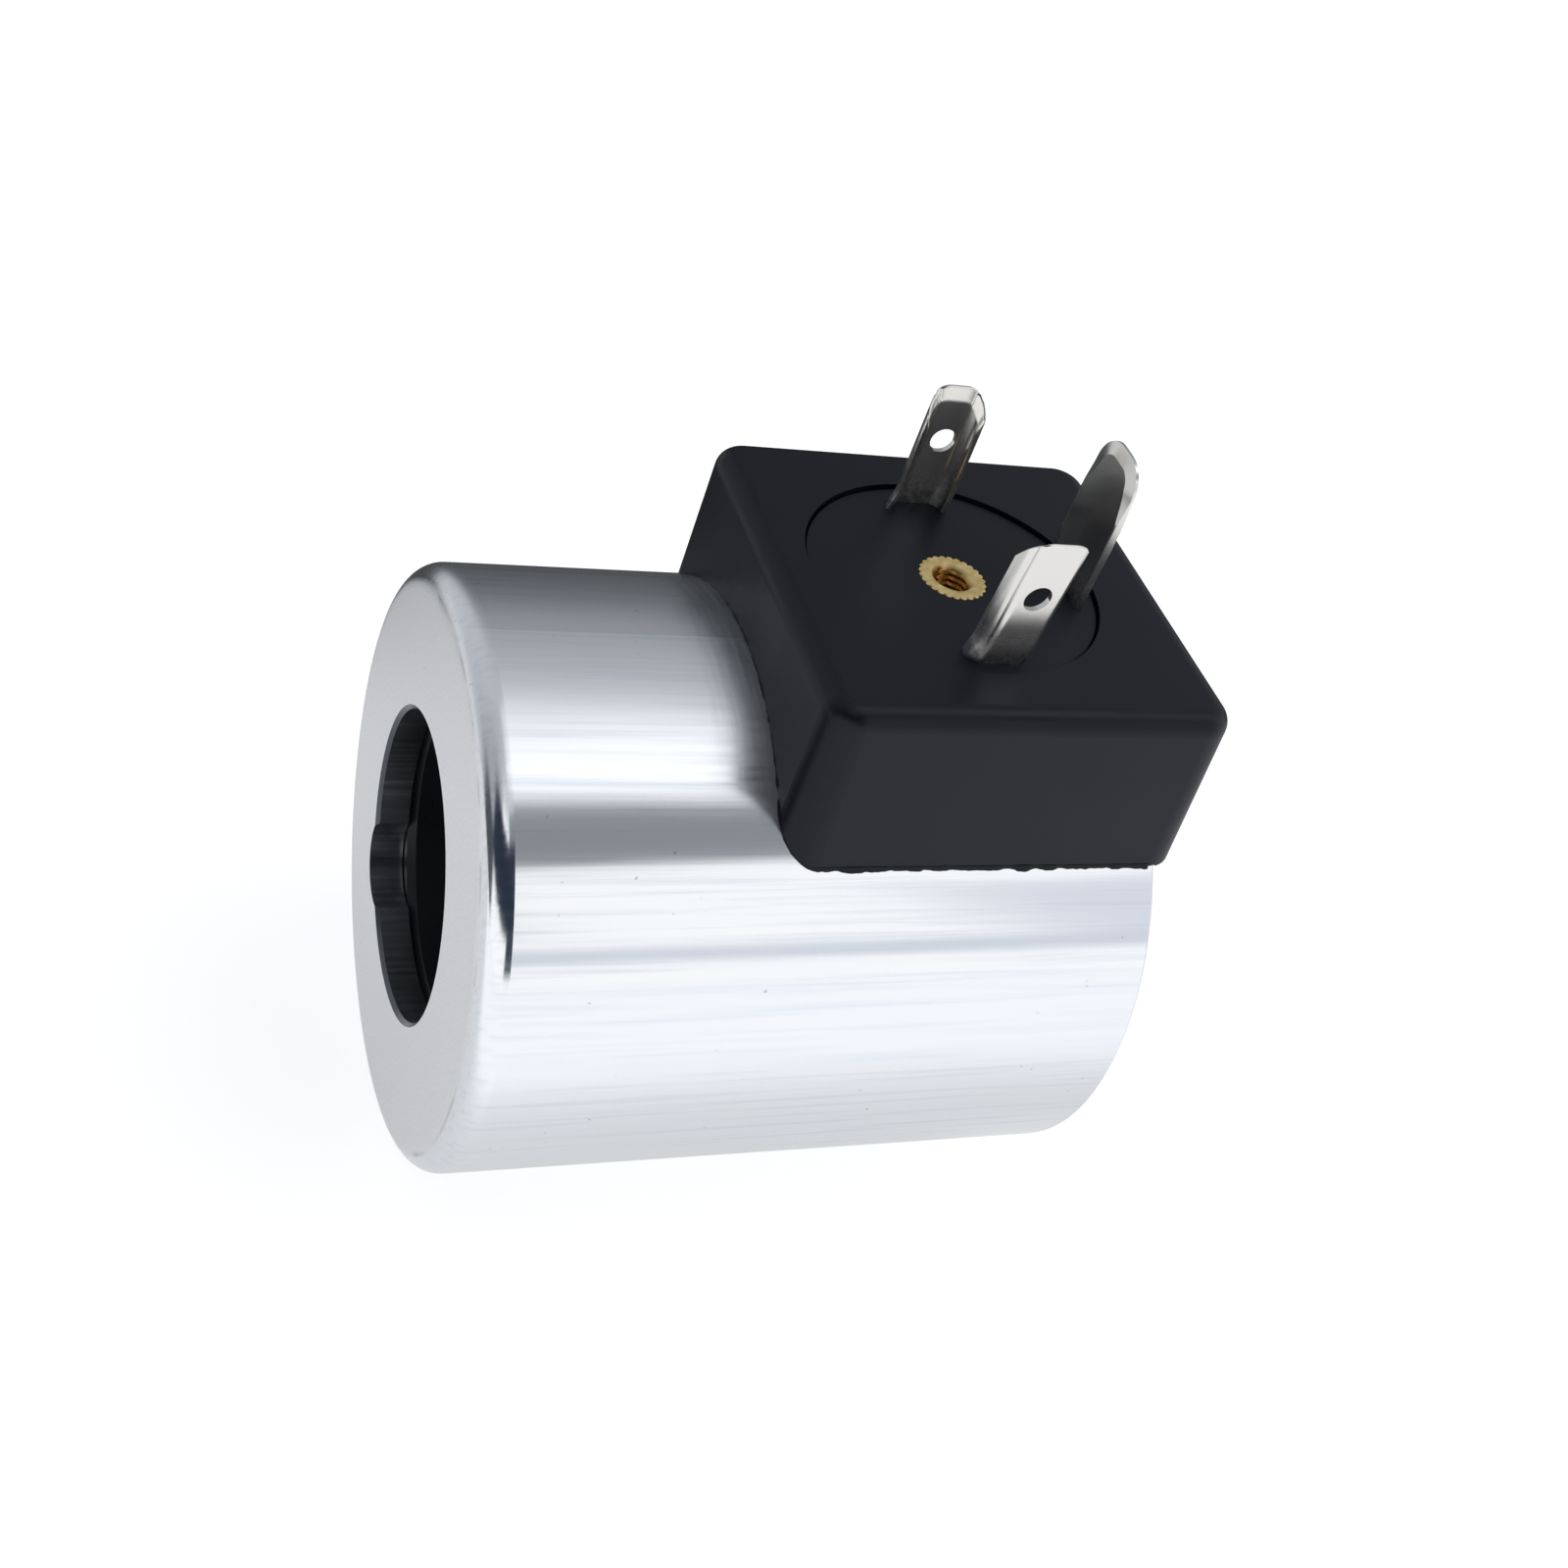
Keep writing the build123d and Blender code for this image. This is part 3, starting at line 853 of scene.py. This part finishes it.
def build_ground_blade(lean):
    """The ground blade, in place of its solid; lean as for the contact blades."""
    half_width = (ground_high.y - ground_low.y) / 2
    half_thickness = (ground_high.x - ground_low.x) / 2
    middle_x = (ground_high.x + ground_low.x) / 2
    side_steps, corner_steps, top_steps = 24, 14, 7
    corner = 2.4 * MM
    bevel_reach = 1.0 * MM
    bevel_depth = 0.24 * MM
    bevel_fade = 2.4 * MM
    edge = 0.07 * MM
    # Round one half of the blade: across, height, and the outward direction at each point
    outline = []
    length = ground_high.z - ground_low.z
    for step in range(side_steps + 1):
        outline.append((-half_width, (length - corner) * step / side_steps, -1, 0))
    for step in range(1, corner_steps + 1):
        turn = math.pi / 2 * step / corner_steps
        outward = (-math.cos(turn), math.sin(turn))
        outline.append(
            (
                -half_width + corner + corner * outward[0],
                length - corner + corner * outward[1],
                *outward,
            )
        )
    for step in range(1, top_steps + 1):
        across = -half_width + corner + (half_width - corner) * step / top_steps
        outline.append((across, length, 0, 1))
    outline += [(-y, z, -out_y, out_z) for y, z, out_y, out_z in reversed(outline[:-1])]
    shape = bmesh.new()
    rings = {}
    for face in (-1, 1):
        rings[face] = {"edge": [], "flat": []}
        for y, z, out_y, out_z in outline:
            share = min(max((z - (length - corner - bevel_fade)) / bevel_fade, 0.0), 1.0)
            share = share * share * (3 - 2 * share)
            reach = edge + (bevel_reach - edge) * share
            depth = edge + (bevel_depth - edge) * share
            for ring, inset, drop in (("edge", 0.0, depth), ("flat", reach, 0.0)):
                point = (face * (half_thickness - drop), y - out_y * inset, z - out_z * inset)
                rings[face][ring].append(shape.verts.new(point))
    count = len(outline)
    for index in range(count):
        after = (index + 1) % count
        for first, second in (
            (rings[-1]["flat"], rings[-1]["edge"]),
            (rings[-1]["edge"], rings[1]["edge"]),
            (rings[1]["edge"], rings[1]["flat"]),
        ):
            shape.faces.new((first[index], first[after], second[after], second[index]))
    for face in (-1, 1):
        shape.faces.new(rings[face]["flat"])
    bmesh.ops.triangulate(shape, faces=[face for face in shape.faces if len(face.verts) > 4])
    foot = base_top - ground_low.z
    for vertex in shape.verts:
        above = max(vertex.co.z - foot, 0.0)
        vertex.co.x += middle_x + lean * above
        vertex.co.z += ground_low.z
    piece = finish_mesh(shape, "bevelled_ground_blade", nickel, smooth_angle=9)
    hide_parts("ground_blade")
    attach(piece, "root")


build_ground_blade(0.06)


# Moulding flash: a thin ragged skin where the block's plastic met the shell

block_corner = 2.4 * MM
draft_per_height = math.tan(math.radians(1.7))
flare = (block_top - block_low.z) * draft_per_height
block_half_length = (block_high.x - block_low.x) / 2 - flare
block_half_width = (block_high.y - block_low.y) / 2 - flare
block_middle_x = (block_high.x + block_low.x) / 2
outline_spacing = 0.25 * MM
outline_corner_steps = 10
flash_end_gap = 0.4 * MM
flash_skin = 0.015 * MM
flash_least_reach = 0.05 * MM
flash_root = 0.1 * MM
flash_sunk = 0.02 * MM
# Steps that settle where a leaning wall meets the round shell
wall_rounds = 6
# Bumps of the ragged edge to the metre, and how much the finer ones count
coarse_rag, fine_rag, fine_share = 900, 2600, 0.5


def block_outline():
    """Points and outward directions round the block's outline at its top."""
    straight_x = block_half_length - block_corner
    straight_y = block_half_width - block_corner
    points = []
    for quarter in range(4):
        start = math.pi / 2 * quarter
        signs = [(1, 1), (-1, 1), (-1, -1), (1, -1)][quarter]
        centre = Vector((block_middle_x + signs[0] * straight_x, signs[1] * straight_y, 0))
        for step in range(outline_corner_steps + 1):
            angle = start + math.pi / 2 * step / outline_corner_steps
            outward = Vector((math.cos(angle), math.sin(angle), 0))
            points.append((centre + outward * block_corner, outward))
        run = 2 * (straight_x if quarter % 2 == 0 else straight_y)
        count = int(run / outline_spacing)
        along = Vector((-math.sin(start + math.pi / 2), math.cos(start + math.pi / 2), 0))
        last_point, last_outward = points[-1]
        for step in range(1, count):
            points.append((last_point + along * run * step / count, last_outward))
    return points


def build_flash():
    """A strip of four-cornered profiles along the block's foot, left out past the shell's end."""
    shape = bmesh.new()
    profiles = []
    for index, (point, outward) in enumerate(block_outline()):
        height = shell_radius
        for _ in range(wall_rounds):
            wall = point + outward * (block_top - height) * draft_per_height
            height = math.sqrt(shell_radius**2 - wall.y**2)
        if wall.x > shell_end - flash_end_gap:
            profiles.append(None)
            continue
        coarse = noise.noise(Vector((wall.x * coarse_rag, wall.y * coarse_rag, 3.0)))
        fine = noise.noise(Vector((wall.x * fine_rag, wall.y * fine_rag, 7.0)))
        ragged = coarse + fine_share * fine
        reach = (0.12 + 0.13 * ragged) * MM
        thickness = (0.08 + 0.04 * ragged) * MM
        foot = wall + outward * max(reach, flash_least_reach)
        foot.z = math.sqrt(max(shell_radius**2 - foot.y**2, 0.0))
        root = wall - outward * flash_root
        root.z = math.sqrt(shell_radius**2 - root.y**2)
        lift = Vector((0, foot.y, foot.z)).normalized()
        corners = (
            root + lift * (thickness + flash_root),
            foot + lift * (flash_skin + thickness * 0.35),
            foot + lift * flash_skin * 0.2,
            root - lift * flash_sunk,
        )
        profiles.append([shape.verts.new(corner) for corner in corners])
    count = len(profiles)
    for index in range(count):
        here, there = profiles[index], profiles[(index + 1) % count]
        if here is None or there is None:
            continue
        for side in range(4):
            after = (side + 1) % 4
            shape.faces.new((here[side], here[after], there[after], there[side]))
    for index in range(count):
        here = profiles[index]
        if here and (profiles[index - 1] is None or profiles[(index + 1) % count] is None):
            shape.faces.new(here)
    return finish_mesh(shape, "moulding_flash", block_plastic, smooth_angle=50)


flash = build_flash()
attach(flash, "root")


# Camera: the photograph's place and tilt

camera_data = bpy.data.cameras.new("photograph_view")
camera_data.sensor_width = 36.0
camera_data.lens = 49.119
camera_data.shift_x = -0.02781
camera_data.shift_y = -0.04858
camera_data.clip_start = 0.005
camera_data.clip_end = 20.0
camera = bpy.data.objects.new("photograph_view", camera_data)
camera.location = (-0.035301, -0.111915, 0.111202)
camera_angles = (51.903, -16.0284, -17.7021)
camera.rotation_euler = Euler([math.radians(angle) for angle in camera_angles])
bpy.context.scene.collection.objects.link(camera)
bpy.context.scene.camera = camera


# Floor: plain and pale, white to the camera, with the object's soft shadow

floor_half = 1.5
floor_gap = 0.2 * MM
# How dark the floor is to all but the camera, as painted shade: axis, where it starts and ends in
# mm, and how much. Dark behind, and a painted contact shadow close in front
FLOOR_SHADES = (("Y", 24, 85, 1.0), ("X", -80, -45, 1.0), ("Y", -60, -24, 0.3))


def build_floor():
    """A square floor just under the shell, with its own glow for the camera and the mirrors, and
    painted shade that only the mirrors see.
    """
    shape = bmesh.new()
    corners = [(-1, -1), (1, -1), (1, 1), (-1, 1)]
    floor_height = -shell_radius - floor_gap
    shape.faces.new(
        [shape.verts.new((x * floor_half, y * floor_half, floor_height)) for x, y in corners]
    )
    material = bpy.data.materials.new("pale_floor")
    material.use_nodes = True
    tree = material.node_tree
    tree.nodes.clear()
    rays = add_node(tree, "ShaderNodeLightPath")
    # White to the camera; what the metal shows of it carries painted shade, dark behind and a
    # painted contact shadow close in front
    place = add_node(tree, "ShaderNodeNewGeometry").outputs["Position"]
    parts = add_node(tree, "ShaderNodeSeparateXYZ", {0: place})
    shares = []
    for axis, low, high, most in FLOOR_SHADES:
        shares.append(
            add_node(
                tree,
                "ShaderNodeMapRange",
                {
                    "Value": parts.outputs[axis],
                    "From Min": low * MM,
                    "From Max": high * MM,
                    "To Min": 0.0,
                    "To Max": most,
                },
                interpolation_type="SMOOTHSTEP",
            ).outputs[0]
        )
    behind = add_node(tree, "ShaderNodeMath", {0: shares[0], 1: shares[1]}, operation="MULTIPLY")
    dimmed = add_node(
        tree, "ShaderNodeMath", {0: behind.outputs[0], 1: shares[2]}, operation="MAXIMUM"
    )
    hidden = add_node(
        tree, "ShaderNodeMath", {0: 1.0, 1: rays.outputs["Is Camera Ray"]}, operation="SUBTRACT"
    )
    painted_floor_shade = add_node(
        tree, "ShaderNodeMath", {0: dimmed.outputs[0], 1: hidden.outputs[0]}, operation="MULTIPLY"
    ).outputs[0]
    colour = add_node(tree, "ShaderNodeValToRGB", {"Fac": painted_floor_shade})
    set_ramp(colour, [(0.0, srgb("#F2F2F2")), (1.0, srgb("#4A4E50"))])
    glow = add_node(
        tree,
        "ShaderNodeMix",
        {
            0: painted_floor_shade,
            2: add_node(
                tree,
                "ShaderNodeMath",
                {0: rays.outputs["Is Camera Ray"], 1: rays.outputs["Is Glossy Ray"]},
                operation="MAXIMUM",
            ).outputs[0],
            3: 0.05,
        },
        data_type="FLOAT",
    ).outputs[0]
    diffuse = add_node(tree, "ShaderNodeBsdfDiffuse", {"Color": colour.outputs[0]}).outputs[0]
    shine = add_node(
        tree, "ShaderNodeEmission", {"Color": srgb("#FFFFFF"), "Strength": 0.6}
    ).outputs[0]
    both = add_node(tree, "ShaderNodeAddShader", {0: diffuse, 1: shine}).outputs[0]
    mixed = add_node(tree, "ShaderNodeMixShader", {0: glow, 1: diffuse, 2: both}).outputs[0]
    add_node(tree, "ShaderNodeOutputMaterial", {"Surface": mixed})
    finish_mesh(shape, "floor", material)


build_floor()


# Light: a soft room round the object, and one large soft box overhead

# Each part of the room: bearing from the left wall towards the back wall, half its width and how
# soft its sides are; height, half of it and how soft its ends are, all in degrees; and its colour
ROOM_PARTS = (
    ("upper back wall", 120, 40, 20, -10, 90, 20, "#AEB1B6"),
    ("back wall", 100, 14, 28, -10, 10, 62, "#45494D"),
    ("left back corner", 44, 30, 20, 0, 90, 20, "#BABDC2"),
    ("upper left wall", -8, 26, 12, 42, 20, 12, "#A6A9AD"),
    ("ceiling", 0, 180, 1, 90, 16, 12, "#A8AAAF"),
    ("ceiling over the camera", -110, 60, 8, 68, 6, 8, "#CBCED4"),
    ("front wall over the white sheet", -118, 36, 2.5, 52, 9.5, 2.5, "#878A8F"),
    ("grey card right of the camera", -142, 20, 4, 21, 8, 4, "#D8DCE4"),
    ("shelf line in the white sheet", -125, 24, 2, 10, 1.5, 2, "#CDD2DC"),
    ("left wall", 0, 12, 9, 8, 10, 9, "#4A4E52"),
    ("dark drape beside the camera", -57, 45, 4, 34.5, 14.5, 5, "#272F3D"),
    ("foot of the drape", -91, 9, 3, 13, 7, 3, "#38404E"),
)


def build_room():
    """A white room with the parts above laid over it in turn; plain white to the camera."""
    world = bpy.data.worlds.new("soft_room")
    bpy.context.scene.world = world
    world.use_nodes = True
    tree = world.node_tree
    tree.nodes.clear()
    direction = add_node(tree, "ShaderNodeTexCoord").outputs["Generated"]
    parts = add_node(tree, "ShaderNodeSeparateXYZ", {0: direction})
    to_left = add_node(
        tree, "ShaderNodeMath", {0: parts.outputs["X"], 1: -1.0}, operation="MULTIPLY"
    )
    bearing = add_node(
        tree, "ShaderNodeMath", {0: parts.outputs["Y"], 1: to_left.outputs[0]}, operation="ARCTAN2"
    ).outputs[0]
    height = add_node(
        tree, "ShaderNodeMath", {0: parts.outputs["Z"]}, operation="ARCSINE"
    ).outputs[0]
    room = srgb("#FFFFFF")
    for _, across, half_width, soft_sides, up, half_height, soft_ends, colour in ROOM_PARTS:
        inside = []
        for angle, middle, half, soft in (
            (bearing, across, half_width, soft_sides),
            (height, up, half_height, soft_ends),
        ):
            off = add_node(
                tree, "ShaderNodeMath", {0: angle, 1: math.radians(middle)}, operation="SUBTRACT"
            )
            away = add_node(tree, "ShaderNodeMath", {0: off.outputs[0]}, operation="ABSOLUTE")
            inside.append(
                add_node(
                    tree,
                    "ShaderNodeMapRange",
                    {
                        "Value": away.outputs[0],
                        "From Min": math.radians(half),
                        "From Max": math.radians(half + soft),
                        "To Min": 1.0,
                        "To Max": 0.0,
                    },
                    interpolation_type="SMOOTHSTEP",
                ).outputs[0]
            )
        share = add_node(tree, "ShaderNodeMath", {0: inside[0], 1: inside[1]}, operation="MULTIPLY")
        room = add_node(
            tree,
            "ShaderNodeMix",
            {0: share.outputs[0], 6: room, 7: srgb(colour)},
            data_type="RGBA",
        ).outputs[2]
    lit = add_node(tree, "ShaderNodeBackground", {"Color": room, "Strength": 1.15}).outputs[0]
    seen = add_node(
        tree, "ShaderNodeBackground", {"Color": srgb("#FFFFFF"), "Strength": 1.0}
    ).outputs[0]
    rays = add_node(tree, "ShaderNodeLightPath").outputs["Is Camera Ray"]
    mixed = add_node(tree, "ShaderNodeMixShader", {0: rays, 1: lit, 2: seen}).outputs[0]
    add_node(tree, "ShaderNodeOutputWorld", {"Surface": mixed})


def add_soft_box(name, place, aim, size, power):
    """A rectangular lamp turned to a point; place and size in metres, power in watts."""
    lamp = bpy.data.lights.new(name, "AREA")
    lamp.shape = "RECTANGLE"
    lamp.size, lamp.size_y = size
    lamp.energy = power
    lamp_object = bpy.data.objects.new(name, lamp)
    lamp_object.location = place
    lamp_object.rotation_euler = (Vector(aim) - Vector(place)).to_track_quat("-Z", "Y").to_euler()
    bpy.context.scene.collection.objects.link(lamp_object)


build_room()
middle = (shell_end / 2, 0, 0)
add_soft_box("overhead_soft_box", (0.24, -0.05, 0.78), middle, (0.5, 0.5), 0.55)


# Plain view transform

bpy.context.scene.view_settings.view_transform = "Standard"
